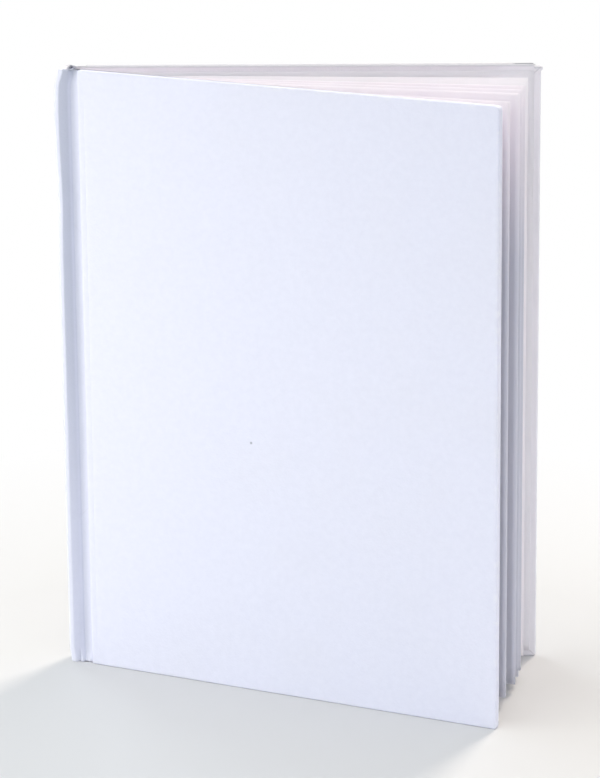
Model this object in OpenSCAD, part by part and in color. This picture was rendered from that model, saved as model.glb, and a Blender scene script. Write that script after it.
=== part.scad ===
// Hardcover notebook, standing on its tail with both covers a little open.
// X runs from the spine to the fore-edge, Y from the front cover to the back
// cover, and Z from the tail to the head. The tail edges stand on z = 0.

/* [Pages] */
// Height of a page
page_h = 203; // [120:1:280]
// Width of a page, from its glued edge to its fore-edge
page_w = 152.4; // [90:0.2:220]
// Thickness of one leaf
leaf_t = 0.2; // [0.1:0.05:0.4]
// Number of leaves between the two flyleaves
leaf_count = 12; // [4:1:24]
// Thickness of the endpapers
endpaper_t = 0.2; // [0.1:0.05:0.4]
// Angle between the two flyleaves as the book stands
fan_angle = 19.2; // [6:0.2:21]

/* [Covers] */
// Thickness of a cover board
board_t = 2.4; // [1.6:0.1:3.4]
// How far a cover reaches past the pages at the head and at the tail
square = 3; // [2:0.5:8]
// How far a cover reaches past the pages at the fore-edge
fore_square = 5.4; // [3:0.2:10]
// Angle of each cover to the middle of the pages as the book stands
cover_angle = 12.3; // [11.5:0.1:20]
// Gap between a closed cover and the flyleaf
closed_gap = 0.1; // [0.1:0.05:0.3]

/* [Covering] */
// Thickness of the covering
cloth_t = 0.25; // [0.15:0.05:0.3]
// Width of the covering turned in over the edges
turn_in = 15; // [10:1:25]
// Rounding of the covering over the edges of the boards
edge_r = 0.6; // [0.4:0.1:0.7]
// Rounding of the corners of the covers, seen from the front
corner_r = 1.8; // [1:0.1:3]
// Margin of covering left bare round a pastedown
bare_margin = 2.2; // [1.5:0.1:5]
// Width of the gauze pasted to a cover board
gauze_w = 14; // [8:1:22]

/* [Spine] */
// Thickness of the spine strip
spine_board_t = 1.4; // [1:0.1:1.8]
// Rounding of the two long outer edges of the spine
shoulder_r = 0.9; // [0.5:0.1:1.2]
// Hollow between the spine and the lining of the pages
spine_hollow = 0.85; // [0.4:0.05:1.2]
// Thickness of the gauze glued over the back of the pages
lining_t = 0.25; // [0.15:0.05:0.4]
// Length of the lining left short of the pages at each end
lining_short = 2; // [1:0.5:5]

/* [Joints] */
// Width of the joint, from the spine strip to the edge of a cover
joint_w = 7; // [6.6:0.1:9]
// Distance of the hinge line from the edge of a cover
hinge_inset = 2.9; // [2.6:0.1:3.3]
// Width of the flat bottom of the joint, on the spine side of the hinge line
joint_flat = 1; // [0.6:0.1:1.4]
// Gap between the covering of the spine and of a cover at the hinge line
hinge_gap = 0.5; // [0.4:0.05:0.7]

/* [Hidden] */
$fn = 48;

// How far a cutting shape reaches past what it cuts
past = 1;

// The two sides of the book along Y
FRONT = -1;
BACK = 1;

// Layers on one side of the middle of the pages, with the book closed
leaves = leaf_count + 2;
y_block = leaves * leaf_t / 2;
y_paste = y_block + closed_gap;
y_turn = y_paste + endpaper_t;
y_board = y_turn + cloth_t;
y_outer = y_board + board_t + cloth_t;
y_joint = y_board + cloth_t;

// Stations along X from the back of the spine, with the book closed
x_spine = spine_board_t + 2 * cloth_t;
x_lining = x_spine + spine_hollow;
x_pages = x_lining + lining_t;
x_cover = x_spine + joint_w;
x_hinge = x_cover - hinge_inset;
x_foot = x_hinge - joint_flat;
x_edge = x_pages + page_w + fore_square;

// The hinge line runs in the middle of the covering
y_hinge = y_board + cloth_t / 2;

// Whole height of the book, and where the turned-in covering ends
cover_h = page_h + 2 * square;
z_turn = cover_h - turn_in;

// Farthest point of an open cover, for the origin in the middle of the foot
reach = x_hinge + (x_edge - edge_r - x_hinge) * cos(cover_angle)
    + (y_hinge - y_turn - edge_r) * sin(cover_angle) + edge_r;

// Sloping side of the joint
slope_run = x_foot - x_spine;
slope_rise = y_outer - y_joint;
slope_cut = cloth_t * norm([slope_run, slope_rise]) / slope_run;

CLOTH = [0.90, 0.91, 0.96];
JOINT_CLOTH = [0.80, 0.83, 0.89];
PAPER = [0.98, 0.96, 0.97];
ENDPAPER = [0.95, 0.93, 0.96];
GREYBOARD = [0.66, 0.64, 0.60];
GAUZE = [0.88, 0.87, 0.80];

// Leaves are counted from the front of the book
function leaf_face(i) = i * leaf_t - y_block;
function leaf_angle(i) = fan_angle * (i / (leaves - 1) - 0.5);
function fanned(i, y) = [x_hinge, y]
    + (x_pages + page_w - x_hinge) * [cos(leaf_angle(i)), sin(leaf_angle(i))];

// A box given by its two opposite corners
module box(a, b) {
    translate(a) cube(b - a);
}

// A rectangle with round corners, given by its two opposite corners
module round_rect(a, b, r) {
    translate([a.x + r, a.y]) square([b.x - a.x - 2 * r, b.y - a.y]);
    translate([a.x, a.y + r]) square([b.x - a.x, b.y - a.y - 2 * r]);
    for (x = [a.x + r, b.x - r], y = [a.y + r, b.y - r])
        translate([x, y]) circle(r = r);
}

// A slab given by its two opposite corners, with the edges of its broad faces
// rounded by r and its four corners by corner
module rounded_slab(a, b, r, corner) {
    intersection() {
        translate([0, b.y + past, 0]) rotate([90, 0, 0])
            linear_extrude(b.y - a.y + 2 * past)
                round_rect([a.x, a.z], [b.x, b.z], corner);
        translate([0, 0, a.z - past]) linear_extrude(b.z - a.z + 2 * past)
            round_rect([a.x, a.y], [b.x, b.y], r);
        translate([a.x - past, 0, 0]) rotate([90, 0, 90])
            linear_extrude(b.x - a.x + 2 * past)
                round_rect([a.y, a.z], [b.y, b.z], r);
    }
}

// The book's place on its foot
module in_place() {
    translate([-reach / 2, 0, 0]) children();
}

// One side of the book, drawn for the back
module on_side(side) {
    in_place() if (side == FRONT) mirror([0, 1, 0]) children();
    else children();
}

// Both halves of the book, drawn for the back
module both_sides() {
    children();
    mirror([0, 1, 0]) children();
}

// A cover turned open about its hinge line
module open_cover(side) {
    on_side(side)
        translate([x_hinge, y_hinge, 0])
            rotate([0, 0, cover_angle])
                translate([-x_hinge, -y_hinge, 0]) children();
}

// All leaves between the flyleaves: one glued block that fans out
module text_block() {
    first = 1;
    last = leaves - 2;
    leaf_edges = [for (i = [first : last]) each
        [fanned(i, leaf_face(i)), fanned(i, leaf_face(i + 1)),
            [x_hinge, leaf_face(i + 1)]]];
    outline = concat(
        [[x_pages, leaf_face(first)], [x_hinge, leaf_face(first)]],
        leaf_edges,
        [[x_pages, leaf_face(last + 1)]]);
    color(PAPER) in_place()
        translate([0, 0, square]) linear_extrude(page_h) polygon(outline);
}

// The free half of an endpaper, with its fold and the strip in the joint
module flyleaf(side) {
    a = fan_angle / 2;
    run = x_pages + page_w - x_hinge;
    tip = [x_hinge + run * cos(a), y_block + run * sin(a)];
    outline = [[x_pages, y_block - leaf_t], [x_hinge, y_block - leaf_t],
        tip - [0, leaf_t], tip, [x_hinge, y_block],
        [x_hinge - hinge_gap / 2, y_block], [x_hinge - hinge_gap / 2, y_turn],
        [x_pages, y_turn]];
    color(ENDPAPER) on_side(side)
        translate([0, 0, square]) linear_extrude(page_h) polygon(outline);
}

module front_flyleaf() flyleaf(FRONT);
module back_flyleaf() flyleaf(BACK);

// Gauze over the back of the pages, with a flange in each joint
module spine_lining() {
    z0 = square + lining_short;
    color(GAUZE) in_place() {
        box([x_lining, -y_board, z0], [x_pages, y_board, cover_h - z0]);
        both_sides()
            box([x_lining, y_turn, turn_in], [x_hinge - hinge_gap / 2, y_board, z_turn]);
    }
}

// Section of the spine under a given depth of covering: round outside, square
// towards the pages
module spine_section(depth) {
    r = shoulder_r - depth;
    half = y_outer - depth;
    translate([depth + r, -half]) square([x_spine - 2 * depth - r, 2 * half]);
    translate([depth, r - half]) square([x_spine - 2 * depth, 2 * (half - r)]);
    both_sides() translate([depth + r, half - r])
        intersection() {
            circle(r = r);
            translate([-r, 0]) square(r);
        }
}

// Strip of board that stiffens the spine
module spine_strip() {
    translate([0, 0, cloth_t]) linear_extrude(cover_h - 2 * cloth_t) spine_section(cloth_t);
}

module spine_board() {
    color(GREYBOARD) in_place() spine_strip();
}

// Section of the covering from the spine down into one joint
module joint_section() {
    polygon([[x_spine, y_outer], [x_foot, y_joint],
        [x_hinge - hinge_gap / 2, y_joint], [x_hinge - hinge_gap / 2, y_board],
        [x_foot, y_board], [x_spine, y_outer - slope_cut]]);
}

// Covering of the spine and of the spine side of both joints
module spine_covering() {
    half = y_outer - cloth_t;
    color(JOINT_CLOTH) in_place() {
        difference() {
            linear_extrude(cover_h) spine_section(0);
            spine_strip();
            box([x_spine - cloth_t - past / 2, -half, turn_in], [x_spine + past, half, z_turn]);
        }
        both_sides() {
            linear_extrude(cover_h) joint_section();
            for (z = [0, z_turn])
                box([x_foot, y_turn, z], [x_hinge - hinge_gap / 2, y_board, z + turn_in]);
        }
    }
}

// Stiff board of one cover, as it lies in a closed book
module board_slab() {
    rounded_slab([x_cover + cloth_t, y_board, cloth_t],
        [x_edge - cloth_t, y_outer - cloth_t, cover_h - cloth_t],
        edge_r - cloth_t, corner_r - cloth_t);
}

module cover_board(side) {
    color(GREYBOARD) open_cover(side) board_slab();
}

module front_board() cover_board(FRONT);
module back_board() cover_board(BACK);

// Covering of one cover, with its turn-ins and its side of the joint
module cover_covering(side) {
    x_start = x_hinge + hinge_gap / 2;
    x_meet = x_cover + 2 * edge_r;
    color(CLOTH) open_cover(side) difference() {
        union() {
            rounded_slab([x_cover, y_turn, 0], [x_edge, y_outer, cover_h], edge_r, corner_r);
            box([x_start, y_board, 0], [x_meet, y_joint, cover_h]);
            for (z = [0, z_turn])
                box([x_start, y_turn, z], [x_meet, y_joint, z + turn_in]);
        }
        board_slab();
        box([x_start - past, y_turn - past, turn_in],
            [x_edge - turn_in, y_board, z_turn]);
    }
}

module front_covering() cover_covering(FRONT);
module back_covering() cover_covering(BACK);

// Flange of gauze between the turn-ins, on the board and across the joint
module cover_gauze(side) {
    color(GAUZE) open_cover(side)
        box([x_hinge + hinge_gap / 2, y_turn, turn_in],
            [x_cover + gauze_w, y_board, z_turn]);
}

module front_gauze() cover_gauze(FRONT);
module back_gauze() cover_gauze(BACK);

// The pasted half of an endpaper, which steps down from the turn-ins
module pastedown(side) {
    deep = [x_cover + gauze_w, y_paste, turn_in];
    deep_end = [x_edge - turn_in, y_board, z_turn];
    step = [endpaper_t, 0, endpaper_t];
    color(ENDPAPER) open_cover(side) difference() {
        union() {
            box([x_hinge + hinge_gap / 2, y_paste, bare_margin],
                [x_edge - bare_margin, y_turn, cover_h - bare_margin]);
            box(deep, deep_end);
        }
        box(deep + step - [0, past, 0], deep_end - step - [0, endpaper_t, 0]);
    }
}

module front_pastedown() pastedown(FRONT);
module back_pastedown() pastedown(BACK);

text_block();
front_flyleaf();
back_flyleaf();
spine_lining();
spine_board();
spine_covering();
front_board();
front_covering();
front_gauze();
front_pastedown();
back_board();
back_covering();
back_gauze();
back_pastedown();
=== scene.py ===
import math

import bmesh
import bpy
from mathutils import Matrix, Vector, noise

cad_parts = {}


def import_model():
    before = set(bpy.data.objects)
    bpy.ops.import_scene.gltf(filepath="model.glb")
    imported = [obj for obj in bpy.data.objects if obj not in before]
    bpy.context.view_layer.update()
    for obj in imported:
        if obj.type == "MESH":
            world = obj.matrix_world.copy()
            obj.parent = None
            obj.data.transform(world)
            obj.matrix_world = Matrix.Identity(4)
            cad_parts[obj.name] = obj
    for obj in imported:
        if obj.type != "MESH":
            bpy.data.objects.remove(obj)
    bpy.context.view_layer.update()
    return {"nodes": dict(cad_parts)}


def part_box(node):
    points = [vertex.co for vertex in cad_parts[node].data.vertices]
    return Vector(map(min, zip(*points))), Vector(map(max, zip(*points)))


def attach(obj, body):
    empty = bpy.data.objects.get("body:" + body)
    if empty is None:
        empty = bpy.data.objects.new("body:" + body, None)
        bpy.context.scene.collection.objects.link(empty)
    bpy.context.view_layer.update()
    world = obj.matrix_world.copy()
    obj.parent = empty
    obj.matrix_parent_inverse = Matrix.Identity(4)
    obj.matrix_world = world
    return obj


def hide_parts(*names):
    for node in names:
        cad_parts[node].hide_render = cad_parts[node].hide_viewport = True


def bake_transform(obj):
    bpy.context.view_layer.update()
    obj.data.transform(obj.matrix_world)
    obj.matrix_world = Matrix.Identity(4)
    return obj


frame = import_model()

# Everything below is measured in millimetres on the closed book, with x = 0 at
# the back of the spine, y = 0 in the middle of the pages and z = 0 at the tail.
# Each piece is then opened out to the place where the standing book holds it.
MM = 0.001
FRONT = -1
BACK = 1

# Layers from the middle of the pages outwards
Y_BLOCK = 1.4
Y_PASTE = 1.5
Y_TURN = 1.7
Y_BOARD = 1.95
Y_JOINT = 2.2
Y_OUTER = 4.6
Y_HINGE = 2.075

# Stations from the spine to the fore-edge
X_SPINE = 1.9
X_LINING = 2.75
X_PAGES = 3.0
X_FOOT = 5.0
X_HINGE = 6.0
X_COVER = 8.9
X_EDGE = 160.8
PAGE_LENGTH = 150.6

# Heights
COVER_H = 209.0
TAIL_SQUARE = 3.0
HEAD_OF_PAGES = 206.0
TURN_IN = 15.0
BARE_MARGIN = 2.2

CLOTH_T = 0.25
PAPER_T = 0.2
EDGE_R = 0.6
CLOTH_R = CLOTH_T * 0.96
SHOULDER_R = 0.9
OPEN_ANGLE = math.radians(12.3)

# The covering and the endpapers bend this far before and past the hinge line
BEND_REACH = 1.3

# Where the covering's section has extra points for the knocked corner
STEP_STATIONS = (158.2, 158.45, 158.7, 159.4)

# What handling has done to the case
HEAD_LEAN = 1.45
TAIL_LEAN = 0.6
TAIL_BULGE = 1.3
HEAD_PINCH = 0.10
CREASE_X = 11.2
CREASE_DEPTH = 0.07
KNOCK_DROP = 0.75
KNOCK_TIP = 0.6
CORNER_R = {(FRONT, "head"): 1.7, (FRONT, "tail"): 0.8, (BACK, "head"): 0.5, (BACK, "tail"): 0.8}

SPINE_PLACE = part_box("spine_covering")[0].x / MM
SPECK_PLACE = (0.0719, -0.0046, 0.0878)

# A point this close to a level belongs to it
LEVEL_TOLERANCE = 0.005

# An edge that turns by more than this stays sharp
SHARP_ANGLE = math.radians(50)

# Colours that more than one place uses, and the marks on them
RUBBED_TONE = (0.90, 0.915, 0.97, 1)
SOILED_TONE = (0.79, 0.79, 0.83, 1)
# Painted light: the pink glow that the pages throw onto the turned-in flaps
PAGE_BOUNCE_TONE = (0.90, 0.885, 0.93, 1)
DUST_TONE = (0.63, 0.625, 0.66, 1)
SPECK_TONE = (0.25, 0.27, 0.32, 1)
# Painted shade for the slope and groove of the joint
JOINT_SHADE_TONE = (0.60, 0.63, 0.73, 1)
SEAM_TONE = (0.55, 0.53, 0.58, 1)
PAGE_SOILED_TONE = (0.84, 0.81, 0.80, 1)
# Painted shade between the fanned leaves, near their fore-edges
PAGE_SHADE_TONE = (0.56, 0.59, 0.68, 1)


# Help with shapes

def soft(t):
    """A step from 0 to 1 that starts and ends gently."""
    t = min(max(t, 0.0), 1.0)
    return t * t * (3 - 2 * t)


def hump(t):
    """A smooth hump, 1 at 0 and 0 from -1 and 1 on."""
    return soft(1 - abs(t))


def ripple(x, y, z, scale, seed):
    """A smooth random value between about -1 and 1."""
    return noise.noise(Vector((x / scale + seed, y / scale - 2 * seed, z / scale + 3.1 * seed)))


def opened(x, y, z, side):
    """Where a point of the closed book is once the cover on its side is ajar."""
    share = soft((x - X_HINGE + BEND_REACH) / (2 * BEND_REACH))
    angle = side * share * OPEN_ANGLE
    dx = x - X_HINGE
    dy = y - side * Y_HINGE
    x_open = X_HINGE + dx * math.cos(angle) - dy * math.sin(angle)
    y_open = side * Y_HINGE + dx * math.sin(angle) + dy * math.cos(angle)
    return x_open + SPINE_PLACE, y_open, z


def arc(cx, cy, r, start, end, steps):
    """Points on an arc, angles in degrees."""
    points = []
    for i in range(steps + 1):
        a = math.radians(start + (end - start) * i / steps)
        points.append((cx + r * math.cos(a), cy + r * math.sin(a)))
    return points


def pull_up(bm, section, levels, closed):
    """Draws a section at the first level and extrudes it through the others.

    Each point keeps the number of its place in the section."""
    number = bm.verts.layers.int.new("place_in_section")
    row = [bm.verts.new((x, y, levels[0])) for x, y in section]
    for i, v in enumerate(row):
        v[number] = i
    rim = [bm.edges.new(pair) for pair in zip(row, row[1:])]
    if closed:
        rim.append(bm.edges.new((row[-1], row[0])))
    for low, high in zip(levels, levels[1:]):
        pulled = bmesh.ops.extrude_edge_only(bm, edges=rim)["geom"]
        risen = [g for g in pulled if isinstance(g, bmesh.types.BMVert)]
        bmesh.ops.translate(bm, verts=risen, vec=(0, 0, high - low))
        lifted = set(risen)
        rim = [g for g in pulled if isinstance(g, bmesh.types.BMEdge)
               and g.verts[0] in lifted and g.verts[1] in lifted]


def cap_ends(bm, levels):
    """Closes a pulled-up section at its two ends."""
    for level in (levels[0], levels[-1]):
        rim = [e for e in bm.edges if e.is_boundary
               and all(abs(v.co.z - level) < LEVEL_TOLERANCE for v in e.verts)]
        bmesh.ops.contextual_create(bm, geom=rim)
    bm.normal_update()


def turn_outwards(bm):
    """Makes all faces of a shell look away from its middle."""
    bmesh.ops.recalc_face_normals(bm, faces=bm.faces)
    middle = sum((v.co for v in bm.verts), Vector()) / len(bm.verts)
    outward = 0.0
    for face in bm.faces:
        reach = face.calc_center_median() - middle
        outward += face.normal.dot(reach) * face.calc_area()
    if outward < 0:
        bmesh.ops.reverse_faces(bm, faces=bm.faces)


def finish_piece(bm, name, material, crisp_rim=True):
    """Turns a bmesh in millimetres into a smooth object in metres.

    A crisp rim keeps the cut edge of a sheet sharp once it has its thickness."""
    turn_outwards(bm)
    for face in bm.faces:
        face.smooth = True
    for edge in bm.edges:
        if edge.is_boundary:
            edge.smooth = not crisp_rim
        elif edge.is_manifold and edge.calc_face_angle() > SHARP_ANGLE:
            edge.smooth = False
    bmesh.ops.scale(bm, verts=bm.verts, vec=(MM, MM, MM))
    mesh = bpy.data.meshes.new(name)
    bm.to_mesh(mesh)
    bm.free()
    mesh.materials.append(material)
    piece = bpy.data.objects.new(name, mesh)
    bpy.context.scene.collection.objects.link(piece)
    return piece


def thicken(piece, thickness):
    """Gives a sheet its thickness, behind the side that its faces look to."""
    layer = piece.modifiers.new("thickness", "SOLIDIFY")
    layer.thickness = thickness * MM
    layer.offset = -1
    layer.use_even_offset = False
    layer.use_rim = True


def mark_layers(bm):
    """Layers for a point's place on the closed book and its nearness to a rim."""
    return (bm.verts.layers.float_vector.new("closed_place"),
            bm.verts.layers.float.new("near_edge"))


def stations(start, end, step):
    """Even stations from start to end, about a step apart."""
    count = max(1, round(abs(end - start) / step))
    return [start + (end - start) * i / count for i in range(count + 1)]


def joined(*runs):
    """Runs of stations joined, without repeats."""
    out = []
    for run in runs:
        for value in run:
            if not out or abs(value - out[-1]) > 1e-6:
                out.append(value)
    return out


# Materials

def node_group(name, inputs, outputs):
    """An empty group with named sockets."""
    group = bpy.data.node_groups.new(name, "ShaderNodeTree")
    for label, kind, value in inputs:
        socket = group.interface.new_socket(label, in_out="INPUT", socket_type=kind)
        if value is not None:
            socket.default_value = value
    for label, kind in outputs:
        group.interface.new_socket(label, in_out="OUTPUT", socket_type=kind)
    inlet = group.nodes.new("NodeGroupInput")
    outlet = group.nodes.new("NodeGroupOutput")
    return group, inlet, outlet


def add(tree, kind, links=None, **settings):
    """A node with its settings, and the sockets that feed it."""
    node = tree.nodes.new(kind)
    for key, value in settings.items():
        setattr(node, key, value)
    for key, source in (links or {}).items():
        if isinstance(source, bpy.types.NodeSocket):
            tree.links.new(source, node.inputs[key])
        else:
            node.inputs[key].default_value = source
    return node


def maths(tree, operation, a, b=None):
    links = {0: a}
    if b is not None:
        links[1] = b
    return add(tree, "ShaderNodeMath", links, operation=operation).outputs[0]


def remap(tree, value, low, high, to_low, to_high):
    """A value's place between two limits, given new limits and held inside them."""
    links = {0: value, 1: low, 2: high, 3: to_low, 4: to_high}
    return add(tree, "ShaderNodeMapRange", links, clamp=True).outputs[0]


def mixed(tree, share, a, b):
    """Two colours mixed by a share."""
    return add(tree, "ShaderNodeMix", {0: share, 6: a, 7: b}, data_type="RGBA").outputs[2]


def tinted(tree, body, mask, most, tone):
    """A colour with a mask's part of it tinted, by at most that share."""
    return mixed(tree, maths(tree, "MULTIPLY", mask, most), body, tone)


def noise_of(tree, place, scale, detail=3.0, rough=0.55):
    return add(tree, "ShaderNodeTexNoise",
               {"Vector": place, "Scale": scale, "Detail": detail,
                "Roughness": rough}).outputs["Fac"]


def leather_grain_group():
    """Fine pebbled grain of a covering, with its height and a faint tone."""
    g, inlet, outlet = node_group(
        "leather_grain",
        [("Place", "NodeSocketVector", None), ("Pebbles", "NodeSocketFloat", 1500.0),
         ("Mottle", "NodeSocketFloat", 160.0)],
        [("Height", "NodeSocketFloat"), ("Tone", "NodeSocketFloat")])
    place = inlet.outputs["Place"]
    bend = noise_of(g, place, 420.0, 2.0)
    shift = add(g, "ShaderNodeVectorMath", {0: place, 1: (0.0006, 0.0006, 0.0006)},
                operation="ADD")
    swirl = add(g, "ShaderNodeVectorMath", {0: shift.outputs[0]}, operation="SCALE")
    g.links.new(maths(g, "ADD", maths(g, "MULTIPLY", bend, 0.004), 1.0), swirl.inputs["Scale"])
    pebbles = add(g, "ShaderNodeTexVoronoi",
                  {"Vector": swirl.outputs[0], "Scale": inlet.outputs["Pebbles"],
                   "Smoothness": 0.7}, feature="SMOOTH_F1")
    fine = noise_of(g, place, 3800.0, 2.0)
    mottle = noise_of(g, place, inlet.outputs["Mottle"], 4.0, 0.62)
    height = maths(g, "ADD", maths(g, "MULTIPLY", pebbles.outputs["Distance"], 0.7),
                   maths(g, "MULTIPLY", fine, 0.3))
    height = maths(g, "ADD", height, maths(g, "MULTIPLY", mottle, 0.5))
    g.links.new(height, outlet.inputs["Height"])
    tone = remap(g, mottle, 0.36, 0.64, 0.0, 1.0)
    g.links.new(tone, outlet.inputs["Tone"])
    return g


def paper_fibre_group():
    """Short felted fibres of paper, with their height and a faint cloudiness."""
    g, inlet, outlet = node_group(
        "paper_fibre",
        [("Place", "NodeSocketVector", None), ("Fibres", "NodeSocketFloat", 2400.0)],
        [("Height", "NodeSocketFloat"), ("Cloud", "NodeSocketFloat")])
    place = inlet.outputs["Place"]
    along = add(g, "ShaderNodeVectorMath", {0: place, 1: (1.0, 1.0, 0.22)}, operation="MULTIPLY")
    across = add(g, "ShaderNodeVectorMath", {0: place, 1: (0.25, 1.0, 1.0)}, operation="MULTIPLY")
    upright = noise_of(g, along.outputs[0], inlet.outputs["Fibres"], 3.0, 0.5)
    level = noise_of(g, across.outputs[0], inlet.outputs["Fibres"], 3.0, 0.5)
    g.links.new(maths(g, "ADD", upright, level), outlet.inputs["Height"])
    cloud = noise_of(g, place, 90.0, 5.0, 0.6)
    g.links.new(remap(g, cloud, 0.32, 0.68, 0.0, 1.0), outlet.inputs["Cloud"])
    return g


def wear_group():
    """Where handling has rubbed or soiled the edges, from a mask of the edges."""
    g, inlet, outlet = node_group(
        "edge_wear",
        [("Place", "NodeSocketVector", None), ("Edge", "NodeSocketFloat", 0.0)],
        [("Rubbed", "NodeSocketFloat"), ("Soiled", "NodeSocketFloat")])
    patches = noise_of(g, inlet.outputs["Place"], 260.0, 4.0, 0.65)
    rubbed = maths(g, "MULTIPLY", remap(g, patches, 0.5, 0.68, 0.0, 1.0), inlet.outputs["Edge"])
    g.links.new(rubbed, outlet.inputs["Rubbed"])
    clouds = noise_of(g, inlet.outputs["Place"], 35.0, 3.0, 0.5)
    soiled = maths(g, "MULTIPLY", remap(g, clouds, 0.45, 0.75, 0.0, 1.0),
                   maths(g, "ADD", maths(g, "MULTIPLY", inlet.outputs["Edge"], 0.7), 0.3))
    g.links.new(soiled, outlet.inputs["Soiled"])
    return g


GRAIN = leather_grain_group()
FIBRE = paper_fibre_group()
WEAR = wear_group()


def placed_group(tree, group, links):
    return add(tree, "ShaderNodeGroup", links, node_tree=group)


def new_material(name):
    material = bpy.data.materials.new(name)
    material.use_nodes = True
    tree = material.node_tree
    shader = tree.nodes["Principled BSDF"]
    return material, tree, shader


def closed_place(tree):
    """The point's place on the closed book, so that a pattern follows a bent sheet."""
    return add(tree, "ShaderNodeAttribute", attribute_name="closed_place").outputs["Vector"]


def edge_mask(tree):
    """1 along the rims of a piece, where hands and shelves touch it."""
    return add(tree, "ShaderNodeAttribute", attribute_name="near_edge").outputs["Fac"]


def joint_shade_mask(tree):
    """Painted shade in the joint beside the spine."""
    return add(tree, "ShaderNodeAttribute", attribute_name="in_joint").outputs["Fac"]


def turned_in_mask(tree, place):
    """The flaps of the covering that are turned in over the inside of a cover."""
    depth = maths(tree, "ABSOLUTE", add(tree, "ShaderNodeSeparateXYZ", {0: place}).outputs[1])
    return remap(tree, depth, (Y_TURN + 0.15) * MM, (Y_TURN + 0.6) * MM, 1.0, 0.0)


def speck_mask(tree, place):
    """One tiny dark speck on the front cover."""
    far = add(tree, "ShaderNodeVectorMath", {0: place, 1: SPECK_PLACE}, operation="DISTANCE")
    return remap(tree, far.outputs["Value"], 0.0002, 0.0006, 1.0, 0.0)


def dusty_head_mask(tree, place):
    """The head edge of the back cover, greyed by dust."""
    part = add(tree, "ShaderNodeSeparateXYZ", {0: place})
    at_head = remap(tree, part.outputs[2], (COVER_H - 0.9) * MM, (COVER_H - 0.3) * MM,
                    0.0, 1.0)
    at_back = remap(tree, part.outputs[1], 0.0008, 0.0018, 0.0, 1.0)
    return maths(tree, "MULTIPLY", at_head, at_back)


def mitre_mask(tree, place):
    """The slanting seams where the turned-in flaps meet at the fore-edge corners."""
    part = add(tree, "ShaderNodeSeparateXYZ", {0: place})
    from_edge = maths(tree, "SUBTRACT", X_EDGE * MM, part.outputs[0])
    from_head = maths(tree, "SUBTRACT", COVER_H * MM, part.outputs[2])
    head = maths(tree, "ABSOLUTE", maths(tree, "SUBTRACT", from_edge, from_head))
    tail = maths(tree, "ABSOLUTE", maths(tree, "SUBTRACT", from_edge, part.outputs[2]))
    line = remap(tree, maths(tree, "MINIMUM", head, tail), 0.00012, 0.0004, 1.0, 0.0)
    return maths(tree, "MULTIPLY", line, turned_in_mask(tree, place))


def object_place(tree):
    return add(tree, "ShaderNodeTexCoord").outputs["Object"]


def bumped(tree, shader, height, strength, depth):
    bump = add(tree, "ShaderNodeBump", {"Height": height, "Strength": strength,
                                       "Distance": depth})
    tree.links.new(bump.outputs["Normal"], shader.inputs["Normal"])


def covering_material():
    """White covering paper with a fine pebbled grain, painted shade in the joints and a painted
    glow from the pages on the turned-in flaps.
    """
    m, t, shader = new_material("white_covering")
    place = closed_place(t)
    grain = placed_group(t, GRAIN, {"Place": place, "Pebbles": 1500.0, "Mottle": 420.0})
    wear = placed_group(t, WEAR, {"Place": place, "Edge": edge_mask(t)})
    body = mixed(t, grain.outputs["Tone"], (0.805, 0.820, 0.948, 1), (0.827, 0.842, 0.968, 1))
    # Painted light: the turned-in flaps are tinted pinker, standing in for light thrown onto them
    # by the pages
    body = mixed(t, turned_in_mask(t, place), body, PAGE_BOUNCE_TONE)
    body = tinted(t, body, wear.outputs["Soiled"], 0.35, SOILED_TONE)
    body = tinted(t, body, wear.outputs["Rubbed"], 0.6, RUBBED_TONE)
    body = tinted(t, body, dusty_head_mask(t, place), 0.85, DUST_TONE)
    body = tinted(t, body, speck_mask(t, place), 0.7, SPECK_TONE)
    # Painted shade: the slope and groove of the joint are darkened where light does not reach
    body = tinted(t, body, joint_shade_mask(t), 0.9, JOINT_SHADE_TONE)
    seam = mitre_mask(t, place)
    body = tinted(t, body, seam, 0.45, SEAM_TONE)
    t.links.new(body, shader.inputs["Base Color"])
    rough = remap(t, grain.outputs["Tone"], 0.0, 1.0, 0.50, 0.62)
    rough = maths(t, "ADD", rough, maths(t, "MULTIPLY", wear.outputs["Rubbed"], 0.12))
    t.links.new(rough, shader.inputs["Roughness"])
    height = maths(t, "SUBTRACT", grain.outputs["Height"], seam)
    bumped(t, shader, height, 0.35, 0.0002)
    return m


def paper_material(name, light, dark, fibres, bump, greyed):
    """Uncoated paper, with painted shade near its fore-edge that fades out towards the head."""
    m, t, shader = new_material(name)
    place = closed_place(t)
    fibre = placed_group(t, FIBRE, {"Place": place, "Fibres": fibres})
    wear = placed_group(t, WEAR, {"Place": place, "Edge": edge_mask(t)})
    body = mixed(t, fibre.outputs["Cloud"], dark, light)
    body = tinted(t, body, wear.outputs["Soiled"], 0.25, PAGE_SOILED_TONE)
    # Painted shade between the fanned leaves: a grey strip near the fore-edge, darkest low down
    # and gone at the head
    part = add(t, "ShaderNodeSeparateXYZ", {0: place})
    page_fan_shade = maths(t, "MULTIPLY", remap(t, part.outputs[2], 0.150, 0.206, greyed, 0.0),
                    remap(t, part.outputs[0], 0.148, 0.1535, 0.0, 1.0))
    body = mixed(t, page_fan_shade, body, PAGE_SHADE_TONE)
    t.links.new(body, shader.inputs["Base Color"])
    t.links.new(remap(t, fibre.outputs["Cloud"], 0.0, 1.0, 0.86, 0.74),
                shader.inputs["Roughness"])
    bumped(t, shader, fibre.outputs["Height"], bump, 0.00008)
    shader.inputs["Subsurface Weight"].default_value = 0.5
    shader.inputs["Subsurface Radius"].default_value = (1.0, 0.92, 0.9)
    shader.inputs["Subsurface Scale"].default_value = 0.0006
    return m


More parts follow.
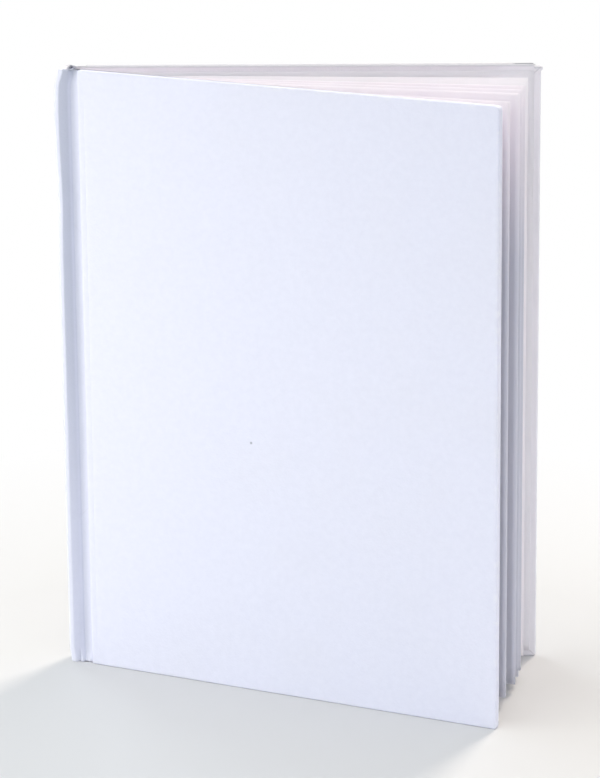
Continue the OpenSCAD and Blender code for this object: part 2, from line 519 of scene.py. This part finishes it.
def greyboard_material():
    """Grey bookbinding board with coarse fibres and dark specks."""
    m, t, shader = new_material("grey_board")
    place = object_place(t)
    fibre = placed_group(t, FIBRE, {"Place": place, "Fibres": 900.0})
    specks = noise_of(t, place, 1300.0, 2.0, 0.7)
    body = mixed(t, fibre.outputs["Cloud"], (0.47, 0.45, 0.41, 1), (0.58, 0.56, 0.51, 1))
    body = mixed(t, remap(t, specks, 0.62, 0.70, 0.0, 0.7), body, (0.26, 0.24, 0.22, 1))
    t.links.new(body, shader.inputs["Base Color"])
    t.links.new(remap(t, specks, 0.3, 0.7, 0.82, 0.95), shader.inputs["Roughness"])
    bumped(t, shader, fibre.outputs["Height"], 0.5, 0.0002)
    return m


def gauze_material():
    """Open cotton gauze, stiff with patches of glue."""
    m, t, shader = new_material("glued_gauze")
    place = object_place(t)
    threads = {"Vector": place, "Scale": 140.0, "Distortion": 0.6, "Detail": 2.0}
    up = add(t, "ShaderNodeTexWave", threads, bands_direction="Z")
    over = add(t, "ShaderNodeTexWave", threads, bands_direction="DIAGONAL")
    weave = maths(t, "MAXIMUM", up.outputs["Fac"], over.outputs["Fac"])
    glue = noise_of(t, place, 60.0, 4.0)
    body = mixed(t, weave, (0.62, 0.58, 0.47, 1), (0.86, 0.84, 0.75, 1))
    body = mixed(t, remap(t, glue, 0.5, 0.7, 0.0, 0.6), body, (0.80, 0.74, 0.58, 1))
    t.links.new(body, shader.inputs["Base Color"])
    t.links.new(remap(t, glue, 0.4, 0.7, 0.9, 0.5), shader.inputs["Roughness"])
    bumped(t, shader, weave, 0.6, 0.0002)
    return m


COVERING = covering_material()
PAGE = paper_material("page_paper", (0.96, 0.892, 0.98, 1), (0.93, 0.862, 0.95, 1),
                      2400.0, 0.25, 0.85)
ENDPAPER = paper_material("end_paper", (0.965, 0.925, 0.995, 1), (0.94, 0.90, 0.98, 1),
                          1800.0, 0.3, 0.0)
GREYBOARD = greyboard_material()
GAUZE = gauze_material()


# Covering

def z_levels():
    """Levels from tail to head, close together where the edges turn over."""
    turn = [0.0, 0.03, 0.11, 0.24, 0.40, 0.60, 0.9, 1.3, 1.8]
    low = joined(turn, stations(1.8, TURN_IN, 1.9))
    high = [COVER_H - z for z in reversed(low)]
    return joined(low, stations(TURN_IN, COVER_H - TURN_IN, 8.0), high)


def slope_points(start, end, shift, steps):
    """Points down the sloping side of the joint, moved inwards by a depth."""
    run = X_FOOT - X_SPINE
    rise = Y_OUTER - Y_JOINT
    length = math.hypot(run, rise)
    nx = rise / length
    ny = run / length
    points = []
    for i in range(steps + 1):
        t = start + (end - start) * i / steps
        points.append((X_SPINE + run * t - nx * shift, Y_OUTER - rise * t - ny * shift))
    return points


def section_with_normals(section):
    """The outward direction at each point of a section drawn the same way round."""
    normals = []
    count = len(section)
    area = 0.0
    for i in range(count):
        x0, y0 = section[i]
        x1, y1 = section[(i + 1) % count]
        area += x0 * y1 - x1 * y0
    turn = 1.0 if area > 0 else -1.0
    for i in range(count):
        ax, ay = section[i - 1]
        bx, by = section[i]
        cx, cy = section[(i + 1) % count]
        before = Vector((bx - ax, by - ay)).normalized()
        after = Vector((cx - bx, cy - by)).normalized()
        along = before + after
        if along.length < 1e-6:
            along = after
        along.normalize()
        normals.append((along.y * turn, -along.x * turn))
    return normals


def spine_dress(x, z):
    """How far the spine leans towards the pages at its head and tail, and waves between."""
    hold = soft((X_COVER - x) / (X_COVER - X_FOOT))
    head = HEAD_LEAN * soft((z - 202.0) / 7.0) ** 1.3
    tail = TAIL_LEAN * soft((6.0 - z) / 6.0)
    near_back = soft((X_FOOT - x) / X_FOOT)
    wave = 0.5 * hump((z - 163.0) / 17.0) - 0.3 * hump((z - 192.0) / 14.0)
    wave += 0.12 * ripple(0.0, 0.0, z, 21.0, 6.0)
    return hold * (head + tail) + near_back * wave


def joint_lift(x, z):
    """The groove of the joint is pressed deeper at the head and bulges out at the tail."""
    hold = soft((x - 3.4) / 1.2) * soft((X_COVER + 0.2 - x) / 1.4)
    return hold * (TAIL_BULGE * soft((5.0 - z) / 5.0) - HEAD_PINCH * soft((z - 200.0) / 9.0))


def crease(x, z):
    """A faint crease in the covering beside the board's edge, where it was rubbed down."""
    along = soft((z - 3.0) / 3.0) * soft((COVER_H - 5.0 - z) / 3.0)
    return -CREASE_DEPTH * hump((x - CREASE_X) / 0.35) * along


def joint_painted_shade(x, z):
    """Painted shade on the slope and in the groove of the joint and at its pinched head, least
    near the tail.
    """
    height = 0.25 + 0.75 * soft((z - 20.0) / 110.0)
    slope = height * soft((x - 0.7) / 0.9) * soft((5.2 - x) / 1.4)
    groove = (0.4 + 0.3 * height) * soft((x - 4.2) / 0.8) * soft((8.9 - x) / 3.4)
    head = soft((z - 203.0) / 4.0) * soft((x - 0.5) / 0.8) * soft((6.8 - x) / 1.5)
    return max(slope, groove, head)


def edge_inset(z):
    """How far the rounded edge draws in at a height near the head or the tail."""
    d = min(z, COVER_H - z)
    if d >= EDGE_R:
        return 0.0
    return EDGE_R - math.sqrt(max(EDGE_R * EDGE_R - (EDGE_R - d) ** 2, 0.0))


def corner_draw(x, z, side):
    """How far a fore-edge corner draws back from a square corner, at a point near it."""
    r = CORNER_R[side, "head" if z > COVER_H / 2 else "tail"] if side else 0.0
    if r == 0.0:
        return 0.0
    far = X_EDGE - r
    d = min(z, COVER_H - z) + 0.02
    if x <= far or d >= r:
        return 0.0
    return (x - far) * (1.0 - math.sqrt(r * r - (r - d) ** 2) / r)


def knocked_corner(x, z, side):
    """How the head corner of the back cover is knocked: a step down and a small tip."""
    if side != BACK:
        return 0.0, 0.0
    high = soft((z - 203.5) / 4.5)
    drop = KNOCK_DROP * soft((x - STEP_STATIONS[0]) / 0.5) * high
    tip = KNOCK_TIP * soft((x - X_EDGE + 0.5) / 0.5) * soft((z - 207.2) / 0.8)
    return tip, -drop


def shape_covering(bm, normals, round_by, side):
    """Rounds the head and tail of a pulled-up covering, marks it and opens it out.

    The side is 0 for the spine, which has both halves; a cover is drawn for the back."""
    place, near = mark_layers(bm)
    joint = bm.verts.layers.float.new("in_joint")
    number = bm.verts.layers.int["place_in_section"]
    for v in bm.verts:
        i = v[number]
        x, y, z = v.co
        nx, ny = normals[i]
        draw = edge_inset(z) * round_by[i] / EDGE_R
        x -= nx * draw
        y -= ny * draw
        x -= corner_draw(x, z, side)
        here = side if side else (BACK if y > 0 else FRONT)
        v[place] = Vector((x, here * abs(y) if side else y, z)) * MM
        v[near] = max(soft(1 - min(z, COVER_H - z) / 1.6), soft((x - X_EDGE + 1.6) / 1.6))
        # Painted shade in the joint, on the outer faces only
        if not point_on_inner_slope(x, abs(y)):
            v[joint] = joint_painted_shade(x, z) * soft((abs(y) - 1.9) / 0.3)
        x += spine_dress(x, z)
        y += joint_lift(x, z)
        if y > Y_OUTER - 0.1:
            y += crease(x, z)
        y += 0.035 * ripple(x, 0.0, z, 38.0, 4.0 + here) * soft((x - 12.0) / 10.0)
        out, down = knocked_corner(x, z, side)
        x += out
        z += down
        if side == FRONT:
            y = -y
        v.co = opened(x, y, z, here)


def cover_section():
    """The skin of one cover with its side of the joint, drawn for the back."""
    outer = slope_points(0.5, 0.93, 0.0, 4)
    outer += arc(X_FOOT + 0.28, Y_JOINT + 0.62, 0.62, 218, 270, 3)
    outer += [(x, Y_JOINT) for x in stations(X_FOOT + 0.6, X_COVER - 0.5, 0.4)]
    outer += arc(X_COVER - 0.35, Y_JOINT + 0.35, 0.35, -90, 0, 3)
    outer += [(X_COVER, 3.2)]
    outer += arc(X_COVER + EDGE_R, Y_OUTER - EDGE_R, EDGE_R, 180, 90, 5)
    beside_crease = (9.9, 10.4, 10.85, 11.05, CREASE_X, 11.35, 11.55, 12.2, 14.0)
    outer += [(x, Y_OUTER) for x in beside_crease]
    outer += [(x, Y_OUTER) for x in stations(18.0, 157.8, 6.0)]
    outer += [(x, Y_OUTER) for x in STEP_STATIONS]
    outer += arc(X_EDGE - EDGE_R, Y_OUTER - EDGE_R, EDGE_R, 90, 0, 5)
    outer += [(X_EDGE, 3.15)]
    outer += arc(X_EDGE - EDGE_R, Y_TURN + EDGE_R, EDGE_R, 0, -90, 5)
    inner = [(x, Y_TURN) for x in reversed(STEP_STATIONS)]
    inner += [(x, Y_TURN) for x in stations(157.8, X_EDGE - TURN_IN, 2.5)]
    inner += [(x, Y_TURN) for x in stations(X_EDGE - TURN_IN - 4.0, X_COVER + 1.0, 8.0)]
    inner += [(x, Y_TURN) for x in stations(X_COVER - 0.2, X_FOOT + 0.3, 0.5)]
    inner += slope_points(0.93, 0.5, 2 * CLOTH_T, 4)
    return outer + inner, len(outer)


def cover_cloth(side):
    """The covering of one cover, turned in round its board and open inside."""
    section, turned = cover_section()
    levels = z_levels()
    bm = bmesh.new()
    pull_up(bm, section, levels, True)
    cap_ends(bm, levels)
    normals = section_with_normals(section)
    round_by = []
    for i, (x, y) in enumerate(section):
        in_joint = x < X_COVER - 0.05 if i < turned else x < X_COVER + 0.9
        round_by.append(CLOTH_R if in_joint else EDGE_R)
    seam_x = (section[0][0] + section[-1][0]) / 2
    seam_y = (section[0][1] + section[-1][1]) / 2
    window = []
    for face in bm.faces:
        c = face.calc_center_median()
        if abs(face.normal.z) > 0.9:
            continue
        on_turn_in = c.y < Y_TURN + 0.01 or (
            c.x < X_FOOT + 0.3 and point_on_inner_slope(c.x, c.y))
        if on_turn_in and TURN_IN < c.z < COVER_H - TURN_IN and c.x < X_EDGE - TURN_IN:
            window.append(face)
        elif abs(c.x - seam_x) < 0.01 and abs(c.y - seam_y) < 0.01:
            window.append(face)
    bmesh.ops.delete(bm, geom=window, context="FACES")
    shape_covering(bm, normals, round_by, side)
    name = "front_cover_cloth" if side == FRONT else "back_cover_cloth"
    piece = finish_piece(bm, name, COVERING)
    thicken(piece, CLOTH_T)
    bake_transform(piece)
    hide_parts("front_covering" if side == FRONT else "back_covering")


def point_on_inner_slope(x, y):
    """True on the turned-in layer that runs down the sloping side of the joint."""
    outer_y = Y_OUTER - (Y_OUTER - Y_JOINT) * (x - X_SPINE) / (X_FOOT - X_SPINE)
    return y < outer_y - 1.5 * CLOTH_T


def spine_section():
    """The skin round the spine strip, down to the middle of both slopes."""
    back = arc(SHOULDER_R, Y_OUTER - SHOULDER_R, SHOULDER_R, 180, 90, 6) + [(1.4, Y_OUTER)]
    back += arc(X_SPINE - 0.1, Y_OUTER - 0.3, 0.3, 90, 53, 2)
    back += slope_points(0.12, 0.5, 0.0, 3)
    inner = slope_points(0.5, 0.1, 2 * CLOTH_T, 3) + [(X_SPINE, 3.75)]
    half_way = [(X_SPINE, y) for y in (2.5, 1.25)]
    upper = back + inner + half_way
    lower = [(x, -y) for x, y in reversed(upper)]
    outer_face = [(0.0, y) for y in (-2.4, -0.8, 0.8, 2.4)]
    return upper + [(X_SPINE, 0.0)] + lower + outer_face


def spine_cloth():
    """The covering round the spine strip, turned in at the head and tail."""
    section = spine_section()
    levels = z_levels()
    bm = bmesh.new()
    pull_up(bm, section, levels, True)
    cap_ends(bm, levels)
    normals = section_with_normals(section)
    round_by = [CLOTH_R + (EDGE_R - CLOTH_T) * soft((1.5 - x) / 0.8) for x, y in section]
    gone = []
    for face in bm.faces:
        if abs(face.normal.z) > 0.9:
            continue
        c = face.calc_center_median()
        inner = abs(c.x - X_SPINE) < 0.01 and abs(c.y) < 3.95
        inner = inner or (c.x > X_SPINE - 0.3 and point_on_inner_slope(c.x, abs(c.y))
                          and abs(c.y) > 2.9)
        ends = c.x > 3.2 and abs(abs(c.y) - 3.2) < 0.06
        if ends or (inner and TURN_IN < c.z < COVER_H - TURN_IN):
            gone.append(face)
    bmesh.ops.delete(bm, geom=gone, context="FACES")
    shape_covering(bm, normals, round_by, 0)
    piece = finish_piece(bm, "spine_cloth", COVERING)
    thicken(piece, CLOTH_T)
    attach(piece, "book_block")
    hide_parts("spine_covering")


def spine_strip():
    """The strip of board in the spine, which follows its pinched head."""
    half = Y_OUTER - CLOTH_T
    r = SHOULDER_R - CLOTH_T
    side = arc(CLOTH_T + r, half - r, r, 180, 90, 4) + [(X_SPINE - CLOTH_T, half)]
    upper = side + [(X_SPINE - CLOTH_T, 2.0)]
    section = upper + [(x, -y) for x, y in reversed(upper)]
    levels = joined(stations(0.3, 14.0, 1.5), stations(14.0, 160.0, 16.0),
                    stations(160.0, COVER_H - 0.3, 2.0))
    bm = bmesh.new()
    pull_up(bm, section, levels, True)
    cap_ends(bm, levels)
    for v in bm.verts:
        x, y, z = v.co
        v.co = (x + spine_dress(x, z) + SPINE_PLACE, y, z)
    piece = finish_piece(bm, "spine_strip", GREYBOARD)
    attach(piece, "book_block")
    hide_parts("spine_board")


def board_slab(side):
    """The stiff board of one cover, with the same knocked corner as its covering."""
    xs = joined([X_COVER + CLOTH_T, 60.0, 110.0, 155.0, 157.8],
                stations(STEP_STATIONS[0], X_EDGE - CLOTH_T, 0.3))
    section = [(x, Y_OUTER - CLOTH_T) for x in xs]
    section += [(x, Y_BOARD) for x in reversed(xs)]
    levels = joined(stations(CLOTH_T, 2.05, 0.3), [12.0, 60.0, 110.0, 160.0, 200.0],
                    stations(203.0, COVER_H - CLOTH_T, 0.5))
    bm = bmesh.new()
    pull_up(bm, section, levels, True)
    cap_ends(bm, levels)
    for v in bm.verts:
        x, y, z = v.co
        out, down = knocked_corner(x, z, side)
        if side == BACK:
            # Keeps the board's straight edge inside the covering's stepped one
            down -= 0.5 * soft((x - 95.0) / 40.0) * soft((z - 203.5) / 4.5)
        x += out * 0.3 - corner_draw(x, z, side)
        if x < X_COVER + 1.0:
            # Leaves room for the turned-in covering beside the spine
            x += 1.5 * soft((z - 200.0) / 6.0) + 0.7 * soft((8.0 - z) / 6.0)
        v.co = opened(x, side * y, z + down, side)
    name = "front_greyboard" if side == FRONT else "back_greyboard"
    piece = finish_piece(bm, name, GREYBOARD)
    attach(piece, "front_cover" if side == FRONT else "back_cover")
    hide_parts("front_board" if side == FRONT else "back_board")


# Endpapers

def pastedown_sheet(side):
    """The pasted half of an endpaper, from its fold across the joint to the board."""
    xs = joined(stations(X_PAGES, X_HINGE - BEND_REACH, 0.6),
                stations(X_HINGE - BEND_REACH, X_HINGE + BEND_REACH, 0.26),
                stations(X_HINGE + BEND_REACH, 12.0, 1.5), stations(12.0, 20.0, 4.0),
                stations(20.0, 27.0, 0.7), stations(27.0, 141.0, 6.0),
                stations(141.0, 149.0, 0.7), stations(149.0, X_EDGE - BARE_MARGIN, 2.4))
    z_low = BARE_MARGIN
    z_high = COVER_H - BARE_MARGIN
    zs = joined(stations(z_low, 10.0, 2.6), stations(10.0, 19.0, 0.8),
                stations(19.0, 190.0, 9.0), stations(190.0, 199.0, 0.8),
                stations(199.0, z_high, 2.6))
    bm = bmesh.new()
    pull_up(bm, [(x, Y_PASTE) for x in xs], zs, False)
    place, near = mark_layers(bm)
    for v in bm.verts:
        x, y, z = v.co
        inset_x = min(soft((x - 22.6) / 1.8), soft((X_EDGE - TURN_IN - x) / 1.6))
        inset_z = min(soft((z - TURN_IN) / 1.6), soft((COVER_H - TURN_IN - z) / 1.6))
        y += 0.23 * min(inset_x, inset_z)
        y += 0.02 * ripple(x, 0.0, z, 22.0, 9.0 * side) * soft((x - 12.0) / 8.0)
        v[place] = Vector((x, side * y, z)) * MM
        v[near] = max(soft(1 - min(z - z_low, z_high - z) / 2.0),
                      soft(1 - (X_EDGE - BARE_MARGIN - x) / 2.0))
        v.co = opened(x, side * y, z, side)
    name = "front_pasted_endpaper" if side == FRONT else "back_pasted_endpaper"
    piece = finish_piece(bm, name, ENDPAPER, crisp_rim=False)
    face_towards(piece, Vector((0, -side, 0)))
    thicken(piece, PAPER_T)
    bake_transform(piece)
    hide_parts("front_pastedown" if side == FRONT else "back_pastedown")


def face_towards(piece, direction):
    """Turns an open sheet's faces to look mostly in one direction."""
    total = sum((face.normal * face.area for face in piece.data.polygons), Vector())
    if total.dot(direction) < 0:
        piece.data.flip_normals()


# Pages

def page_stack():
    """The glued backs of all leaves, as far as the line where they fan out.

    Nothing of it is near an open rim, so that layer stays at zero."""
    section = [(X_PAGES, -Y_BLOCK), (X_HINGE - 0.4, -Y_BLOCK), (X_HINGE, -Y_BLOCK + 0.2)]
    section += [(X_HINGE, y) for y in stations(-1.0, 1.0, 0.4)]
    section += [(X_HINGE, Y_BLOCK - 0.2), (X_HINGE - 0.4, Y_BLOCK), (X_PAGES, Y_BLOCK)]
    levels = stations(TAIL_SQUARE, HEAD_OF_PAGES, 6.0)
    bm = bmesh.new()
    pull_up(bm, section, levels, True)
    cap_ends(bm, levels)
    place, near = mark_layers(bm)
    for v in bm.verts:
        v[place] = v.co * MM
        v.co.x += SPINE_PLACE + 0.05 * ripple(v.co.x, v.co.y, v.co.z, 5.0, 2.0)
    piece = finish_piece(bm, "page_stack", PAGE)
    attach(piece, "book_block")
    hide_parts("text_block")


# Angle at which each leaf stands, from the front flyleaf to the back one
LEAF_ANGLES = (-9.7, -9.2, -8.8, -8.57, -5.6, -5.37, -0.7, -0.5, -0.34, 1.8, 2.0, 4.0, 4.22,
               9.41)

# The flyleaves by their numbers in the fan
FLYLEAVES = {0: "front_flyleaf", 13: "back_flyleaf"}

# Kept between two leaves, so that their faces never touch
LEAF_GAP = 0.02


def leaf(number, angle):
    """One leaf, from inside the glued back to its fore-edge."""
    lower = number * PAPER_T - Y_BLOCK
    trim = 0.25 * ripple(number * 3.7, 0.0, 0.0, 1.0, 1.5)
    rise = 0.12 * ripple(0.0, number * 5.3, 0.0, 1.0, 2.5)
    length = PAGE_LENGTH + trim
    runs = joined(stations(-2.0, 0.0, 1.0), stations(0.0, 12.0, 2.0),
                  stations(12.0, length - 3.0, 7.0), stations(length - 3.0, length, 1.5))
    levels = stations(TAIL_SQUARE + rise, HEAD_OF_PAGES + rise, 7.0)
    bm = bmesh.new()
    pull_up(bm, [(s, 0.01) for s in runs], levels, False)
    place, near = mark_layers(bm)
    a = math.radians(angle)
    for v in bm.verts:
        s, y, z = v.co
        v[place] = Vector((X_HINGE + s, lower, z)) * MM
        v[near] = max(soft(1 - (length - s) / 3.0), soft(1 - (HEAD_OF_PAGES - z) / 3.0))
        v.co = (X_HINGE + SPINE_PLACE + s * math.cos(a) - y * math.sin(a),
                lower + s * math.sin(a) + y * math.cos(a), z)
    if number in FLYLEAVES:
        piece = finish_piece(bm, FLYLEAVES[number] + "_sheet", ENDPAPER, crisp_rim=False)
        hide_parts(FLYLEAVES[number])
    else:
        piece = finish_piece(bm, f"leaf_{number:02d}", PAGE, crisp_rim=False)
    face_towards(piece, Vector((0, -1, 0)))
    thicken(piece, PAPER_T - LEAF_GAP)
    share_of_cover(piece, abs(angle) / math.degrees(OPEN_ANGLE))


def share_of_cover(piece, share):
    """Works out where a soft step reaches a fixed share of the cover's angle, which is not used,
    and bakes the leaf in place."""
    t = share
    for _ in range(40):
        t -= (soft(t) - share) / max(6 * t * (1 - t), 0.05)
        t = min(max(t, 0.0), 1.0)
    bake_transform(piece)


# Build the notebook

spine_cloth()
spine_strip()
for each_side in (FRONT, BACK):
    cover_cloth(each_side)
    board_slab(each_side)
    pastedown_sheet(each_side)
page_stack()
for leaf_number, leaf_angle in enumerate(LEAF_ANGLES):
    leaf(leaf_number, leaf_angle)

for node in ("front_gauze", "back_gauze", "spine_lining"):
    frame["nodes"][node].data.materials.clear()
    frame["nodes"][node].data.materials.append(GAUZE)


# The stage

def floor():
    """A pale floor that keeps the shadow and fades to white away from the book."""
    bm = bmesh.new()
    bmesh.ops.create_grid(bm, x_segments=2, y_segments=2, size=6.0)
    mesh = bpy.data.meshes.new("floor")
    bm.to_mesh(mesh)
    bm.free()
    plane = bpy.data.objects.new("floor", mesh)
    bpy.context.scene.collection.objects.link(plane)
    m, t, shader = new_material("pale_floor")
    shader.inputs["Base Color"].default_value = (0.72, 0.725, 0.72, 1)
    shader.inputs["Roughness"].default_value = 0.6
    shader.inputs["Specular IOR Level"].default_value = 0.3
    place = object_place(t)
    centred = add(t, "ShaderNodeMapping", {"Vector": place, "Location": (0.0, 0.02, 0.0)})
    far = add(t, "ShaderNodeVectorMath", {0: centred.outputs[0]}, operation="LENGTH")
    fade = remap(t, far.outputs["Value"], 0.14, 0.30, 0.0, 1.0)
    seen = add(t, "ShaderNodeLightPath").outputs["Is Camera Ray"]
    share = maths(t, "MULTIPLY", fade, seen)
    white = add(t, "ShaderNodeEmission", {"Color": (1, 1, 1, 1), "Strength": 1.0})
    both = add(t, "ShaderNodeMixShader", {0: share, 1: shader.outputs[0], 2: white.outputs[0]})
    t.links.new(both.outputs[0], t.nodes["Material Output"].inputs["Surface"])
    mesh.materials.append(m)


def world():
    """A dim sky for the light, seen as plain white by the camera."""
    w = bpy.data.worlds.new("studio")
    w.use_nodes = True
    t = w.node_tree
    t.nodes.clear()
    out = t.nodes.new("ShaderNodeOutputWorld")
    seen = add(t, "ShaderNodeLightPath").outputs["Is Camera Ray"]
    dim = add(t, "ShaderNodeBackground", {"Color": (0.86, 0.93, 1.0, 1), "Strength": 0.32})
    white = add(t, "ShaderNodeBackground", {"Color": (1, 1, 1, 1), "Strength": 1.0})
    both = add(t, "ShaderNodeMixShader", {0: seen, 1: dim.outputs[0], 2: white.outputs[0]})
    t.links.new(both.outputs[0], out.inputs["Surface"])
    bpy.context.scene.world = w


def softbox(name, place, target, size, power, colour):
    """A soft rectangular lamp that looks at a target."""
    data = bpy.data.lights.new(name, "AREA")
    data.shape = "RECTANGLE"
    data.size = size[0]
    data.size_y = size[1]
    data.energy = power
    data.color = colour
    lamp = bpy.data.objects.new(name, data)
    bpy.context.scene.collection.objects.link(lamp)
    lamp.location = place
    lamp.rotation_euler = (Vector(target) - Vector(place)).to_track_quat("-Z", "Y").to_euler()


def camera():
    """A long lens from a little right of the front and above."""
    data = bpy.data.cameras.new("camera")
    data.lens = 167.3
    data.sensor_width = 36.0
    data.clip_end = 30.0
    shot = bpy.data.objects.new("camera", data)
    bpy.context.scene.collection.objects.link(shot)
    azimuth = math.radians(13.72)
    elevation = math.radians(15.94)
    distance = 1.2323
    target = Vector((-0.00012, 0.01544, 0.09752))
    back = Vector((math.sin(azimuth) * math.cos(elevation),
                   -math.cos(azimuth) * math.cos(elevation), math.sin(elevation)))
    turn = back.to_track_quat("Z", "Y").to_matrix()
    roll = Matrix.Rotation(math.radians(-0.536), 3, "Z")
    shot.location = target + back * distance
    shot.rotation_euler = (turn @ roll).to_euler()
    bpy.context.scene.camera = shot


floor()
world()
softbox("overhead", (0.0, -0.2, 1.5), (0, 0, 0.1), (1.6, 1.6), 16.0, (1.0, 0.985, 0.96))
softbox("back_right", (0.36, 1.05, 1.1), (0, 0, 0.05), (0.35, 0.35), 12.5, (1.0, 0.88, 0.77))
softbox("back_left", (-0.75, 0.8, 0.75), (0, 0, 0.08), (0.45, 0.45), 2.4, (0.82, 0.91, 1.0))
softbox("left", (-0.55, -0.24, 0.06), (-0.03, 0, 0.06), (0.3, 0.36), 2.1, (1.0, 0.985, 0.95))
softbox("right", (0.44, -0.15, 0.03), (0.06, 0, 0.05), (0.2, 0.1), 0.46, (0.97, 0.95, 1.0))
softbox("front_low", (-0.15, -0.6, 0.04), (0, 0, 0.05), (0.6, 0.06), 0.6, (0.92, 0.96, 1.0))
camera()

bpy.context.scene.view_settings.view_transform = "Standard"
